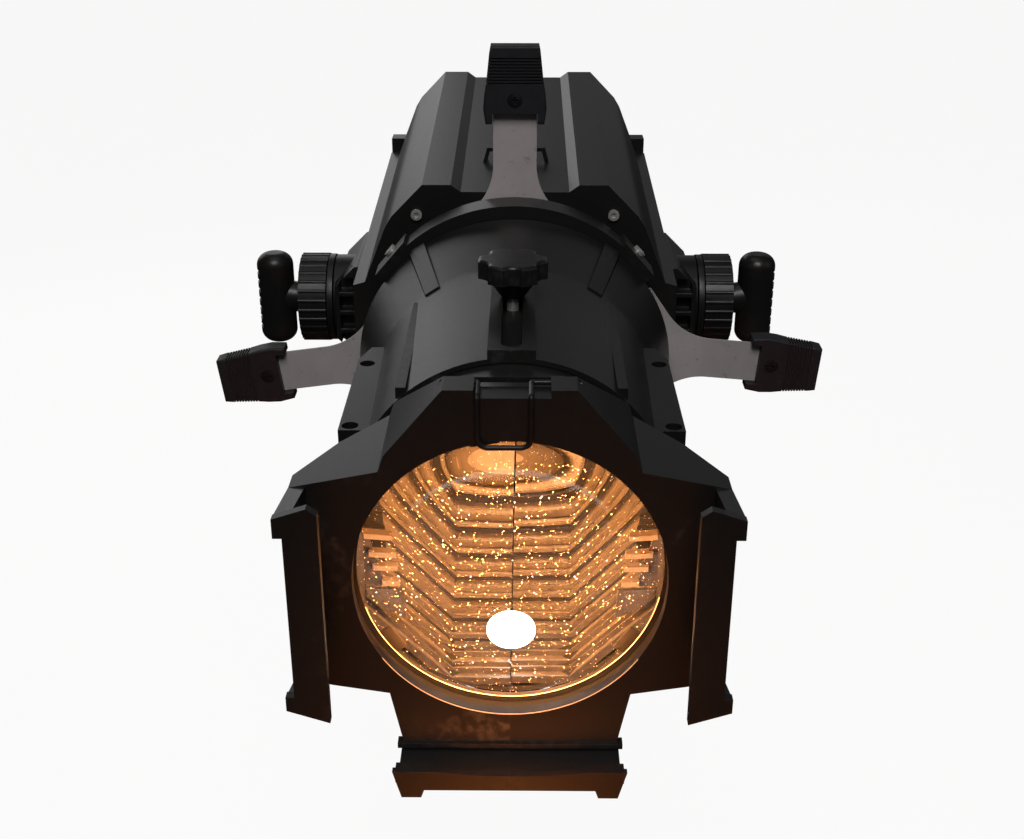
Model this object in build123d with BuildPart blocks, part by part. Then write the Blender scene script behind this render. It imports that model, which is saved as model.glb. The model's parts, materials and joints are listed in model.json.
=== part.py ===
"""LED follow spot: an ellipsoidal profile spotlight that hangs from a yoke.

Units are millimetres.  The origin is the centre of the hanging hole in the
yoke's cross bar.  X runs across the lamp, Y runs along the optical axis from
the lens (front) to the rear cover, and Z is up.  The head is described in
"head coordinates": x and z are measured from the optical axis, and y is
measured from the front face of the gel holder, positive to the rear.
"""
from build123d import *
from math import cos, radians, sin
import os

os.makedirs("parts", exist_ok=True)

# ---- driving dimensions -------------------------------------------------
gap = 0.35                  # clearance between pieces of different bodies
skin = 3.0                  # common casting wall

# yoke and tilt axis
tilt_y = 351.0              # tilt axis behind the gel holder face
yoke_reach = 320.0          # tilt axis to the middle of the cross bar
yoke_fold = 19.4            # degrees that the yoke lies below the rearward axis
yoke_half = 114.0 + gap     # inner face of a yoke arm
bar_thick = 4.0
bar_width = 40.0
hang_hole_r = 6.5

head_y = -(tilt_y + yoke_reach * cos(radians(yoke_fold)))
head_z = yoke_reach * sin(radians(yoke_fold))

# lens tube and gel holder
aperture_r = 64.5
tube_in = 67.0
tube_out = 69.6
tube_rear = 188.0
holder_depth = 38.0         # side channels stand this far in front of the face
holder_half = 84.0
block_half = 87.5           # outer face of a channel's top and bottom blocks
holder_in = 81.0
roof_rear = 60.0
lens_r = 66.6

# lens barrel
barrel_front = 67.0
barrel_rear = 254.0
barrel_bore = 70.0
crease_y = 180.0
crease_r = 75.0
neck_y = 243.0
neck_r = 79.0
flange_r = 83.5
cheek_half = 78.0
slot_half = 4.7
slot_front = 70.8
slot_rear = 146.0
knob_y = 136.0

# gate and shutters
gate_front = 254.6
gate_rear = 280.0
gate_r = 84.0
gate_hole_r = 39.0
blade_thick = 1.2
blade_y = (265.9, 267.5, 269.1, 270.7)
blade_open = 41.0           # inner edge of an open blade, from the axis
blade_tip = 150.0
handle_in = 130.5
handle_out = 172.0
left_droop = 7.6            # degrees that a side shutter hangs below level
right_droop = 4.8
left_pulled = 4.0           # the side shutters stand a little further out
right_pulled = 8.0

# lamp housing
house_front = 280.0
house_rear = 600.0
house_growth = 1.065        # rear section over front section
cover_rear = 626.0

# tilt brackets, hubs and T-handles
bracket_out = 112.0
boss_out = 114.0
disc_in = boss_out + 2 * gap + bar_thick
disc_out = 136.0
hub_r = 27.5
bolt_r = 6.0
bracket_screw_y = 385.0
tee_x = 153.5
tee_half = 29.5
tee_r = 11.5


optic_axis = Axis((0, head_y, head_z), (0, 1, 0))


# ---- helpers --------------------------------------------------------------
def station(y):
    """Plane across the optical axis; it extrudes towards the front."""
    return Plane(origin=(0, head_y + y, head_z), x_dir=(1, 0, 0), z_dir=(0, -1, 0))


def level(z):
    """Horizontal plane at height z; its y is the distance behind the face."""
    return Plane(origin=(0, head_y, head_z + z), x_dir=(1, 0, 0), z_dir=(0, 0, 1))


def upright(x):
    """Plane facing +X at x; its x is the distance behind the face, its y is up."""
    return Plane(origin=(x, head_y, head_z), x_dir=(0, 1, 0), z_dir=(1, 0, 0))


def write(piece, name):
    """Label a finished piece and write it as its own node."""
    piece.part.label = name
    export_step(piece.part, f"parts/{name}.step")


def turned(points, mode=Mode.ADD):
    """Solid of revolution about the optical axis from (y, radius) points."""
    with BuildSketch(upright(0)) as face:
        with BuildLine():
            Polyline(*points, close=True)
        make_face()
    revolve(face.sketch, axis=optic_axis, mode=mode)


def both_halves(points):
    """Closed symmetric outline from the (x, z) points of its right half."""
    with BuildLine() as outline:
        Polyline(*points, *[(-x, z) for x, z in reversed(points) if x > 0], close=True)
    make_face(outline.edges())


def keep_side(side):
    """Cut the piece in work at the middle plane and keep one side."""
    split(bisect_by=Plane.YZ, keep=Keep.TOP if side > 0 else Keep.BOTTOM)


def ring(y, length, outer, inner, mode=Mode.ADD):
    """Round ring (or disc, with inner 0) from y to y + length."""
    with BuildSketch(station(y)) as face:
        Circle(outer)
        if inner > 0:
            Circle(inner, mode=Mode.SUBTRACT)
    extrude(face.sketch, amount=-length, mode=mode)


def block(x, y, z, size_x, size_y, size_z, mode=Mode.ADD):
    """Box by its middle in x and z and its front in y."""
    with BuildSketch(station(y)) as face:
        with Locations((x, z)):
            Rectangle(size_x, size_z)
    extrude(face.sketch, amount=-size_y, mode=mode)


def cap_screws(name, spots, y, head_r, head_h, shank_r, shank_l):
    """Group of socket head screws along the optical axis, heads to the front."""
    with BuildPart() as screws:
        with BuildSketch(station(y)):
            with Locations(*spots):
                Circle(head_r)
        extrude(amount=head_h)
        with BuildSketch(station(y)):
            with Locations(*spots):
                Circle(shank_r)
        extrude(amount=-shank_l)
        with BuildSketch(station(y - head_h)):
            with Locations(*spots):
                RegularPolygon(head_r * 0.5, 6)
        extrude(amount=-head_h * 0.6, mode=Mode.SUBTRACT)
    write(screws, name)


# ---- lens tube with gel holder ---------------------------------------------
plate_outline = [
    (0, 86), (26, 86), (49.5, 58), (52, 51), (block_half, 44), (block_half, 38),
    (holder_half, 38), (holder_half, -48), (75, -50), (51, -54), (46, -79), (0, -79),
]
plate_thick = 3.0
roof_plan = [
    (0, 0), (88, 0), (88, 10), (71.5, 35), (46, roof_rear), (0, roof_rear),
]
baffle_first = 63.0
baffle_pitch = 16.0
baffle_count = 8
baffle_apothem = 62.0
baffle_step = 1.7
lip_in = 70.5               # inner edge of a channel's front lip
lip_thick = 4.0
lens_seat = 5.0
baffle_thick = 2.0
shelf_z = -79.0
shelf_front = -20.6
shelf_wall = -14.3
roof_deck = 14.0            # depth of the flat deck above the aperture
notch = (-14.0, 15.9)       # notch in the deck that the wire clip lies in
notch_z = 82.7
clip_y = 12.6
clip_z = 84.1
clip_legs = (-12.6, 8.2)
clip_low = 62.6
clip_wire = 1.1
clip_bend = 1.25            # radius of the wire's upper bends
clip_corner = 4.0           # radius of its two lower corners
stud_r = 3.0


def channel_wall(x_in, x_out, top, top_front, bottom, bottom_front):
    """Upright wall of a side channel, from its heights at the plate and in front."""
    with BuildSketch(upright(x_in)) as face:
        with BuildLine():
            Polyline(
                (0, top), (-holder_depth, top_front),
                (-holder_depth, bottom_front), (0, bottom), close=True,
            )
        make_face()
    extrude(face.sketch, amount=x_out - x_in)


def gel_channel(side):
    """C-shaped side channel that a gel frame slides into from above."""
    channel_wall(side * holder_in, side * holder_half, 44, 51.5, -48, -36)
    channel_wall(side * holder_half, side * block_half, 44, 50.5, 38, 42.4)
    channel_wall(side * holder_half, side * block_half, -40, -28.8, -48, -35.2)
    with BuildSketch(station(-holder_depth)) as lip:
        with BuildLine():
            Polyline(
                (side * block_half, 50.5), (side * (lip_in + 4), 54.8), (side * lip_in, 52),
                (side * lip_in, -41), (side * block_half, -35.2), (side * block_half, -28.8),
                (side * holder_half, -28.8), (side * holder_half, 42.4),
                (side * block_half, 42.4), close=True,
            )
        make_face()
    extrude(lip.sketch, amount=-lip_thick)


def gel_shelf(side):
    """Trough that the frames stand in, with a scooped front wall on two feet."""
    block(side * 24.2, -2, shelf_z - 1, 48.4, 5, 2.5)
    block(side * 23.4, 0, shelf_z - 3.5, 46.8, 3, 7)
    block(side * 23.4, shelf_wall, shelf_z - 4.2, 46.8, -shelf_wall, 2.4)
    with BuildSketch(station(shelf_front)) as wall:
        with BuildLine():
            Polyline((0, shelf_z - 9.5), (0, shelf_z - 2))
            ThreePointArc((0, shelf_z - 2), (side * 17, shelf_z - 1.5), (side * 32, shelf_z))
            Polyline((side * 32, shelf_z), (side * 49.2, shelf_z), (side * 45.6, shelf_z - 13.3),
                     (side * 37.3, shelf_z - 13.3), (side * 36, shelf_z - 9.5),
                     (0, shelf_z - 9.5))
        make_face()
    extrude(wall.sketch, amount=-3)
    block(side * 40, shelf_front, shelf_z - 2.7, 16, shelf_wall - shelf_front, 5.4)
    block(side * 23.4, shelf_front, shelf_z - 4.2, 46.8, shelf_wall - shelf_front, 2.4)


def clip_seat():
    """Notch in the deck, with a floor and the two blocks that the clip turns in."""
    middle = (notch[0] + notch[1]) / 2
    width = notch[1] - notch[0]
    block(middle, 0, 90, width, roof_deck + 1, 2 * (90 - notch_z), mode=Mode.SUBTRACT)
    block(middle, 0, notch_z - 1.2, width + 4, 11.6, 2.4)
    for x in (notch[0] - 2.5, notch[1] + 2.5):
        block(x, clip_y - 3, clip_z - 0.6, 5, 5, 5)
    with BuildSketch(upright(-30)) as bore:
        with Locations((clip_y, clip_z)):
            Circle(clip_wire + gap / 4)
    extrude(bore.sketch, amount=60, mode=Mode.SUBTRACT)


def baffles():
    """Octagonal steps inside the tube that stop stray light."""
    for i in range(baffle_count):
        with BuildSketch(station(baffle_first + i * baffle_pitch)) as step:
            Circle(tube_in + 0.5)
            RegularPolygon(baffle_apothem - i * baffle_step, 8, major_radius=False,
                           rotation=22.5, mode=Mode.SUBTRACT)
        extrude(step.sketch, amount=-baffle_thick)


def lens_ladder(side):
    """Slotted rail at mid height that can take a second lens."""
    block(side * 64, 30, 0, 9, 60, 1.6)
    for i in range(4):
        block(side * 60, 36 + 9 * i, 0, 15, 3, 14)


def lens_tube(side, name):
    with BuildPart() as tube:
        with BuildSketch(station(0)):
            both_halves(plate_outline)
        extrude(amount=-roof_rear)
        with BuildSketch(station(plate_thick)):
            both_halves(plate_outline)
            offset(amount=-skin, kind=Kind.INTERSECTION, mode=Mode.REPLACE)
        extrude(amount=-roof_rear, mode=Mode.SUBTRACT)
        with BuildSketch(level(-100)):
            both_halves(roof_plan)
        extrude(amount=200, mode=Mode.INTERSECT)
        block(0, plate_thick, -77, 200, roof_rear, 46, mode=Mode.SUBTRACT)
        with BuildSketch(upright(-60)):
            with BuildLine():
                Polyline((roof_deck, 86), (roof_rear + 1, 51.6), (roof_rear + 1, 100),
                         (roof_deck, 100), close=True)
            make_face()
        extrude(amount=120, mode=Mode.SUBTRACT)
        clip_seat()
        ring(plate_thick, tube_rear - plate_thick, tube_out, 0)
        ring(0, lens_seat, aperture_r, 0, mode=Mode.SUBTRACT)
        ring(lens_seat, tube_rear, tube_in, 0, mode=Mode.SUBTRACT)
        baffles()
        lens_ladder(side)
        gel_channel(side)
        gel_shelf(side)
        with BuildSketch(level(40)):
            with Locations((0, knob_y)):
                Circle(stud_r)
        extrude(amount=40, mode=Mode.SUBTRACT)
        keep_side(side)
    write(tube, name)


lens_tube(-1, "lens_tube_left")
lens_tube(1, "lens_tube_right")

# front lens, its retaining ring and the rear lens
lens_front = 15.0


def dome_lens(name, front, edge, radius, rise):
    """Plano-convex lens with its flat side to the front."""
    ball = (radius ** 2 + rise ** 2) / (2 * rise)
    centre = front + edge + rise - ball
    half_way = radius / 2
    with BuildPart() as lens:
        with BuildSketch(upright(0)):
            with BuildLine():
                Polyline((front + edge + rise, 0), (front, 0), (front, radius),
                         (front + edge, radius))
                ThreePointArc((front + edge, radius),
                              (centre + (ball ** 2 - half_way ** 2) ** 0.5, half_way),
                              (front + edge + rise, 0))
            make_face()
        revolve(axis=optic_axis)
    write(lens, name)


dome_lens("front_lens", lens_front, 6.0, lens_r, 19.0)

with BuildPart() as lens_ring:
    ring(lens_front - 3, 3, lens_r, 64)
    for angle in (100, 215, 325):
        with BuildSketch(station(lens_front - 3)):
            with PolarLocations(61.5, 1, start_angle=angle):
                Rectangle(7, 12)
        extrude(amount=-1.2)
write(lens_ring, "lens_ring")

# focus knob on its stud
knob_low = 76.0 + gap
knob_deck = 86.0
knob_top = 95.0
knob_r = 16.6
with BuildPart() as focus_knob:
    with BuildSketch(level(knob_deck)):
        with Locations((0, knob_y)):
            Circle(knob_r)
            with PolarLocations(knob_r + 3.4, 6, start_angle=30):
                Circle(6.0, mode=Mode.SUBTRACT)
    extrude(amount=knob_top - knob_deck)
    fillet(focus_knob.faces().sort_by(Axis.Z)[-1].edges(), 1.8)
    with BuildSketch(level(knob_deck)):
        with Locations((0, knob_y)):
            Circle(12.6)
    with BuildSketch(level(knob_low)):
        with Locations((0, knob_y)):
            Circle(5.6)
    loft()
    with BuildSketch(level(knob_low)):
        with Locations((0, knob_y)):
            Circle(stud_r + 0.05)
    extrude(amount=15, mode=Mode.SUBTRACT)
write(focus_knob, "focus_knob")

with BuildPart() as focus_stud:
    with BuildSketch(level(60)):
        with Locations((0, knob_y)):
            Circle(stud_r)
    extrude(amount=28)
    with BuildSketch(level(58)):
        with Locations((0, knob_y)):
            RegularPolygon(6, 6)
    extrude(amount=5)
write(focus_stud, "focus_stud")

# wire clip that keeps the gel frames in
with BuildPart() as gel_clip:
    with BuildLine():
        left_x, right_x = clip_legs
        front_y = -clip_wire - 2 * gap
        clip_path = FilletPolyline(
            *[(x, head_y + y, head_z + z) for x, y, z in (
                (notch[0] - 3.5, clip_y, clip_z), (left_x, clip_y, clip_z),
                (left_x, front_y, clip_z), (left_x, front_y, clip_low),
                (right_x, front_y, clip_low), (right_x, front_y, clip_z),
                (right_x, clip_y, clip_z), (notch[1] + 3.5, clip_y, clip_z),
            )],
            radius=[clip_bend, clip_bend, clip_corner, clip_corner, clip_bend, clip_bend],
        )
    with BuildSketch(Plane(origin=clip_path @ 0, z_dir=clip_path % 0)):
        Circle(clip_wire)
    sweep()
write(gel_clip, "gel_clip")


# ---- lens barrel ----------------------------------------------------------
neck_front_r = 83.0
cheek_wide = 88.0
pad_half = 10.5
pad_top = 76.0
rail_top = 34.0
rib_top = 57.0
rear_bore_r = 76.0


with BuildPart() as cone_ribs:
    with BuildSketch(station(crease_y)):
        Circle(crease_r + 1.0)
    with BuildSketch(station(neck_y - 1)):
        Ellipse(cheek_wide + 2, neck_front_r + 2)
    loft()
    with BuildSketch(level(45)):
        for x in (-1, 1):
            with BuildLine() as rib_plan:
                Polyline((x * 38, crease_y), (x * 45, crease_y), (x * 58, 241),
                         (x * 50, 241), close=True)
            make_face(rib_plan.edges())
    extrude(amount=45, mode=Mode.INTERSECT)


def barrel_half(side, name):
    with BuildPart() as barrel:
        turned([(barrel_front, 0), (barrel_front, 72.4), (crease_y, crease_r), (crease_y, 0)])
        with BuildSketch(station(crease_y)):
            Circle(crease_r)
        with BuildSketch(station(neck_y - 1)):
            Ellipse(cheek_wide, neck_front_r)
        loft()
        turned([(neck_y - 1, 0), (neck_y - 1, neck_r), (249.5, neck_r),
                (249.5, flange_r), (barrel_rear, flange_r), (barrel_rear, 0)])
        block(0, 75, 0, 2 * cheek_half, 85, 2 * rail_top)
        for x in (-48.75, 48.75):
            block(x, 70, 0, 4.5, 110, 2 * rib_top)
        block(0, barrel_front, 30, 2 * pad_half, 120, 2 * (pad_top - 30))
        block(0, barrel_front + 8, -72, 26, 110, 30)
        add(cone_ribs.part)
        with BuildSketch(level(rail_top - 7)):
            for x in (-1, 1):
                with BuildLine() as gusset:
                    Polyline((x * cheek_half, 159), (x * 60, 159), (x * 60, 176),
                             (x * 73, 176), close=True)
                make_face(gusset.edges())
        extrude(amount=7)
        turned([(barrel_front, 0), (barrel_front, barrel_bore), (200, barrel_bore),
                (neck_y, rear_bore_r), (barrel_rear, rear_bore_r), (barrel_rear, 0)],
               mode=Mode.SUBTRACT)
        with BuildSketch(level(60)):
            with Locations((0, (slot_front + slot_rear) / 2)):
                SlotOverall(slot_rear - slot_front, 2 * slot_half, rotation=90)
        extrude(amount=20, mode=Mode.SUBTRACT)
        with BuildSketch(level(rail_top)):
            for x in (-73, 73):
                with Locations((x, 80), (x, 154)):
                    Circle(3.8)
        extrude(amount=-6, mode=Mode.SUBTRACT)
        with BuildSketch(upright(-20)):
            with Locations(*barrel_screw_spots):
                Circle(2.1)
        extrude(amount=40, mode=Mode.SUBTRACT)
        keep_side(side)
    write(barrel, name)


barrel_screw_spots = ((85, -81), (130, -81), (175, -81))
barrel_half(-1, "barrel_left")
barrel_half(1, "barrel_right")

with BuildPart() as barrel_screws:
    with BuildSketch(upright(-13)):
        with Locations(*barrel_screw_spots):
            Circle(2.0)
    extrude(amount=26)
    with BuildSketch(upright(13)):
        with Locations(*barrel_screw_spots):
            Circle(3.8)
    extrude(amount=3)
    with BuildSketch(upright(-13)):
        with Locations(*barrel_screw_spots):
            RegularPolygon(3.9, 6)
    extrude(amount=-3)
write(barrel_screws, "barrel_screws")


# ---- gate, clamp ring and shutters ----------------------------------------
ring_front = 243.5
ring_rear = 262.0
ring_r = 90.0
ring_angle = 36.0           # the ring's ends stand this far above the middle
lug_angle = 40.7            # direction of a clamp screw, above level
lug_face = 91.6             # outer face of a lug, from the axis
clamp_screw_y = 257.5
slot_y = (265.0, 272.6)     # the four blades run between these planes
post_from = 50.0            # corner posts start here in x and in z
house_screw_spots = ((-56.5, 74.7), (56.5, 74.7), (-56.5, -74.7), (56.5, -74.7))


def wedge(y, length, low, mode):
    """Keeps or cuts all that lies below a height."""
    block(0, y, low - 100, 300, length, 200, mode=mode)


def lug_plane(side, radius):
    """Plane across a clamp screw's axis at a distance from the optical axis."""
    out_x, out_z = side * cos(radians(lug_angle)), sin(radians(lug_angle))
    return Plane(origin=(radius * out_x, head_y + clamp_screw_y, head_z + radius * out_z),
                 z_dir=(out_x, 0, out_z), x_dir=(0, 1, 0))


with BuildPart() as clamp_ring:
    ring(ring_front, ring_rear - ring_front, ring_r, gate_r + 0.1)
    wedge(ring_front, ring_rear - ring_front, ring_r * sin(radians(ring_angle)), Mode.SUBTRACT)
    for side in (-1, 1):
        with BuildSketch(lug_plane(side, lug_face - 7)):
            with Locations((ring_front + (ring_rear - ring_front) / 2 - clamp_screw_y, 0)):
                Rectangle(ring_rear - ring_front, 25)
        extrude(amount=7)
    ring(ring_front - 1, 30, gate_r + 0.1, 0, mode=Mode.SUBTRACT)
    ring(ring_front, 5.3, gate_r + 0.2, neck_r + 0.4)
    wedge(ring_front, ring_rear - ring_front, 47, Mode.SUBTRACT)
    for side in (-1, 1):
        with BuildSketch(lug_plane(side, lug_face)):
            Circle(2.1)
        extrude(amount=-12, mode=Mode.SUBTRACT)
write(clamp_ring, "clamp_ring")

with BuildPart() as gate_housing:
    ring(gate_front, gate_rear - gate_front, gate_r, 45)
    for size_x, size_z in ((2 * post_from, 220), (220, 2 * post_from)):
        block(0, slot_y[0], 0, size_x, slot_y[1] - slot_y[0], size_z, mode=Mode.SUBTRACT)
    for side in (-1, 1):
        with BuildSketch(lug_plane(side, gate_r + 1)):
            Circle(2.0)
        extrude(amount=-9, mode=Mode.SUBTRACT)
write(gate_housing, "gate_housing")

with BuildPart() as gate_aperture:
    ring(gate_front + 4, 3, 45, gate_hole_r)
write(gate_aperture, "gate_aperture")

with BuildPart() as clamp_screws:
    for side in (-1, 1):
        with BuildSketch(lug_plane(side, lug_face)):
            Circle(3.8)
        extrude(amount=1.8)
        with BuildSketch(lug_plane(side, lug_face)):
            Circle(2.0)
        extrude(amount=-14)
        with BuildSketch(lug_plane(side, lug_face + 1.8)):
            RegularPolygon(2.0, 6)
        extrude(amount=-1.3, mode=Mode.SUBTRACT)
write(clamp_screws, "clamp_screws")


grip_outline = [
    (16, handle_in), (17.2, 139), (16.6, 146), (15.6, 151.5), (13.8, 168), (13, handle_out),
]
grip_foot = 136.4           # the grip's middle starts here, between two prongs
grip_screw = 143.4


def shutter(name, angle, y, pulled):
    """Steel blade, moulded handle and its screw, pulled out along one angle."""
    out_x, out_z = cos(radians(angle)), sin(radians(angle))
    plane = Plane(origin=(pulled * out_x, head_y + y, head_z + pulled * out_z),
                  z_dir=(0, -1, 0), x_dir=(out_z, 0, -out_x))
    with BuildPart() as blade:
        with BuildSketch(plane):
            with BuildLine():
                for side in (-1, 1):
                    Polyline((0, blade_open), (side * 40, blade_open), (side * 40, 68),
                             (side * 24, 81))
                    ThreePointArc((side * 24, 81), (side * 15.5, 92), (side * 12, 108))
                    Polyline((side * 12, 108), (side * 12, blade_tip), (0, blade_tip))
            make_face()
            with Locations((0, grip_screw)):
                Circle(2.6, mode=Mode.SUBTRACT)
        extrude(amount=-blade_thick)
    write(blade, f"shutter_blade_{name}")

    with BuildPart() as handle:
        with BuildSketch(plane.offset(5.5)):
            with BuildLine():
                Polyline(*grip_outline, *[(-u, v) for u, v in reversed(grip_outline)],
                         close=True)
            make_face()
        extrude(amount=-12.2)
        fillet(handle.edges().filter_by(Axis.Y, reverse=True), 1.2)
        with BuildSketch(plane.offset(6)):
            with Locations((0, handle_in)):
                Rectangle(24.8, 2 * (grip_foot - handle_in))
        extrude(amount=-14, mode=Mode.SUBTRACT)
        with BuildSketch(plane.offset(blade_slack)):
            with Locations((0, (handle_in + blade_tip) / 2 - 1)):
                Rectangle(24.2, blade_tip - handle_in + 2.2)
        extrude(amount=-(blade_thick + 2 * blade_slack), mode=Mode.SUBTRACT)
        with BuildSketch(plane.offset(5.5)):
            with Locations((0, grip_screw)):
                Circle(2.6)
        extrude(amount=-12.2, mode=Mode.SUBTRACT)
        with BuildSketch(plane.offset(5.5)):
            with Locations((0, grip_screw)):
                Circle(4.0)
        extrude(amount=-1.6, mode=Mode.SUBTRACT)
        for i in range(9):
            for lift in (5.5, -5.9):
                with BuildSketch(plane.offset(lift)):
                    with Locations((0, 152.6 + 1.62 * i)):
                        Rectangle(40, 0.8)
                extrude(amount=-0.8, mode=Mode.SUBTRACT)
            with BuildSketch(plane.offset(6)):
                with Locations((0, 152.6 + 1.62 * i)):
                    Rectangle(40, 0.8)
                    Rectangle(2 * (15.2 - 0.19 * i) - 1.2, 0.8, mode=Mode.SUBTRACT)
            extrude(amount=-14, mode=Mode.SUBTRACT)
    write(handle, f"shutter_handle_{name}")

    with BuildPart() as screw:
        with BuildSketch(plane.offset(5.5)):
            with Locations((0, grip_screw)):
                Circle(2.5)
        extrude(amount=-12.2)
        with BuildSketch(plane.offset(4.0)):
            with Locations((0, grip_screw)):
                Circle(3.8)
        extrude(amount=1.3)
        with BuildSketch(plane.offset(5.5)):
            with Locations((0, grip_screw)):
                Rectangle(4.4, 0.9)
                Rectangle(0.9, 4.4)
        extrude(amount=-0.9, mode=Mode.SUBTRACT)
    write(screw, f"shutter_screw_{name}")


blade_slack = 0.05
for shutter_name, shutter_angle, shutter_y, shutter_pulled in (
    ("top", 90, blade_y[0], 0),
    ("bottom", 270, blade_y[1], 0),
    ("left", 180 + left_droop, blade_y[2], left_pulled),
    ("right", -right_droop, blade_y[3], right_pulled),
):
    shutter(shutter_name, shutter_angle, shutter_y, shutter_pulled)


# ---- lamp housing -----------------------------------------------------------
house_outline = [
    (0, 88), (31, 88), (36.5, 92), (53, 92), (71, 73.5), (75, 67), (88, 34), (95, 32),
    (95, -32), (88, -34), (75, -67), (71, -73.5), (53, -92), (36.5, -92), (31, -88), (0, -88),
]
front_wall = 5.0
cover_thick = 3.0


def growth_at(y):
    """Size of the housing's section at y over its size at the front."""
    return 1 + (house_growth - 1) * (y - house_front) / (house_rear - house_front)


def house_section(y, inset):
    """Section of the housing at y, drawn inside its outer skin by inset."""
    growth = growth_at(y)
    with BuildSketch(station(y)) as section:
        both_halves([(x * growth, z * growth) for x, z in house_outline])
        if inset > 0:
            offset(amount=-inset, kind=Kind.INTERSECTION, mode=Mode.REPLACE)
    return section.sketch


def house_solid(front, rear, inset, mode=Mode.ADD):
    loft([house_section(front, inset), house_section(rear, inset)], ruled=True, mode=mode)


with BuildPart() as housing_shell:
    house_solid(house_front, house_rear, 0)
    house_solid(house_front + front_wall, house_rear, skin, mode=Mode.SUBTRACT)
    ring(house_front, front_wall, 60, 0, mode=Mode.SUBTRACT)
    with BuildSketch(station(house_front)):
        with Locations(*house_screw_spots):
            Circle(2.1)
    extrude(amount=-front_wall, mode=Mode.SUBTRACT)
    for x in (-1, 1):
        with BuildSketch(upright(x * 80)):
            with Locations((tilt_y, 0)):
                Circle(bolt_r + 0.06)
            with Locations((bracket_screw_y, 0)):
                Circle(2.6)
        extrude(amount=x * 25, mode=Mode.SUBTRACT)
    with BuildSketch(level(-110)):
        with Locations((0, 500)):
            with GridLocations(0, 10, 1, 9):
                SlotOverall(70, 4)
    extrude(amount=30, mode=Mode.SUBTRACT)
write(housing_shell, "housing_shell")
cap_screws("front_screws", house_screw_spots, house_front, 3.2, 1.6, 2.0, 12)

with BuildPart() as safety_loop:
    with BuildSketch(station(345)):
        with BuildLine():
            Polyline((-20, 89.3), (-17.5, 98), (17.5, 98), (20, 89.3), (17.6, 89.3), (15.8, 95.8),
                     (-15.8, 95.8), (-17.6, 89.3), close=True)
        make_face()
    extrude(amount=-9)
write(safety_loop, "safety_loop")

button_spots = tuple((x, 40) for x in (-36, -12, 12, 36))
socket_spots = ((-45, -30), (0, -30), (45, -30))
cover_screw_spots = ((-40, 78), (40, 78), (-40, -78), (40, -78))

with BuildPart() as rear_cover:
    loft([house_section(house_rear, 0), house_section(cover_rear, 10)], ruled=True)
    loft([house_section(house_rear, skin), house_section(cover_rear - cover_thick, 13)],
         ruled=True, mode=Mode.SUBTRACT)
    for x in (-1, 1):
        block(x * 94.5, house_rear, 38, 12, 15, 15)
    with BuildSketch(station(cover_rear)):
        with Locations(*button_spots):
            Circle(4.0 + gap)
        with Locations((0, 62)):
            Rectangle(60, 20)
        with Locations(*socket_spots):
            Circle(11)
        with Locations((0, 0)):
            with GridLocations(0, 6, 1, 3):
                SlotOverall(110, 3)
        with Locations(*cover_screw_spots):
            Circle(2.1)
    extrude(amount=2 * cover_thick, both=True, mode=Mode.SUBTRACT)
write(rear_cover, "rear_cover")

with BuildPart() as cover_screws:
    with BuildSketch(station(cover_rear)):
        with Locations(*cover_screw_spots):
            Circle(2.0)
    extrude(amount=8)
    with BuildSketch(station(cover_rear)):
        with Locations(*cover_screw_spots):
            Circle(3.8)
    extrude(amount=-2.5)
write(cover_screws, "cover_screws")

with BuildPart() as display_window:
    block(0, cover_rear - cover_thick, 62, 60, cover_thick, 20)
write(display_window, "display_window")

with BuildPart() as power_inlet:
    ring_x, ring_z = socket_spots[0]
    with BuildSketch(station(cover_rear)):
        with Locations((ring_x, ring_z)):
            Circle(11)
    extrude(amount=20)
    with BuildSketch(station(cover_rear)):
        with Locations((ring_x, ring_z)):
            Rectangle(26, 30)
            Circle(9, mode=Mode.SUBTRACT)
    extrude(amount=-3)
    with BuildSketch(station(cover_rear)):
        with Locations((ring_x, ring_z)):
            Circle(9)
    extrude(amount=14, mode=Mode.SUBTRACT)
write(power_inlet, "power_inlet")

with BuildPart() as data_sockets:
    for socket_x, socket_z in socket_spots[1:]:
        with BuildSketch(station(cover_rear)):
            with Locations((socket_x, socket_z)):
                Circle(11)
                Circle(8.5, mode=Mode.SUBTRACT)
        extrude(amount=18)
        with BuildSketch(station(cover_rear)):
            with Locations((socket_x, socket_z)):
                Rectangle(26, 30)
                Circle(8.5, mode=Mode.SUBTRACT)
        extrude(amount=-2.5)
        with BuildSketch(station(cover_rear - 18)):
            with Locations((socket_x, socket_z)):
                Circle(11)
        extrude(amount=3)
write(data_sockets, "data_sockets")


def button(index):
    """Push button in the rear cover, with a collar that stops it inside."""
    x, z = button_spots[index]
    with BuildPart() as key:
        with BuildSketch(station(cover_rear + 2.5)):
            with Locations((x, z)):
                Circle(4.0)
        extrude(amount=8)
        with BuildSketch(station(cover_rear - cover_thick - gap)):
            with Locations((x, z)):
                Circle(5.5)
        extrude(amount=2)
        fillet(key.faces().sort_by(Axis.Y)[-1].edges(), 0.8)
    write(key, f"menu_button_{index + 1}")


for button_index in range(len(button_spots)):
    button(button_index)


# ---- light engine and electronics -------------------------------------------
chassis_z = -58.0
engine_y = 340.0

with BuildPart() as chassis:
    block(0, 300, chassis_z, 130, 290, 3)
    for y in (346, 462, 560):
        floor_z = skin - 88 * growth_at(y)
        leg = chassis_z - 1.5 - floor_z
        block(0, y, floor_z + leg / 2, 60, 3, leg)
write(chassis, "chassis")

with BuildPart() as heat_sink:
    block(0, engine_y, 0, 124, 8, 113)
    for i in range(15):
        block(-56 + 8 * i, engine_y + 8, 0, 2, 80, 113)
write(heat_sink, "heat_sink")

with BuildPart() as led_module:
    block(0, engine_y - 2, 0, 48, 2, 48)
    ring(engine_y - 4, 2, 13, 0)
write(led_module, "led_module")

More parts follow.
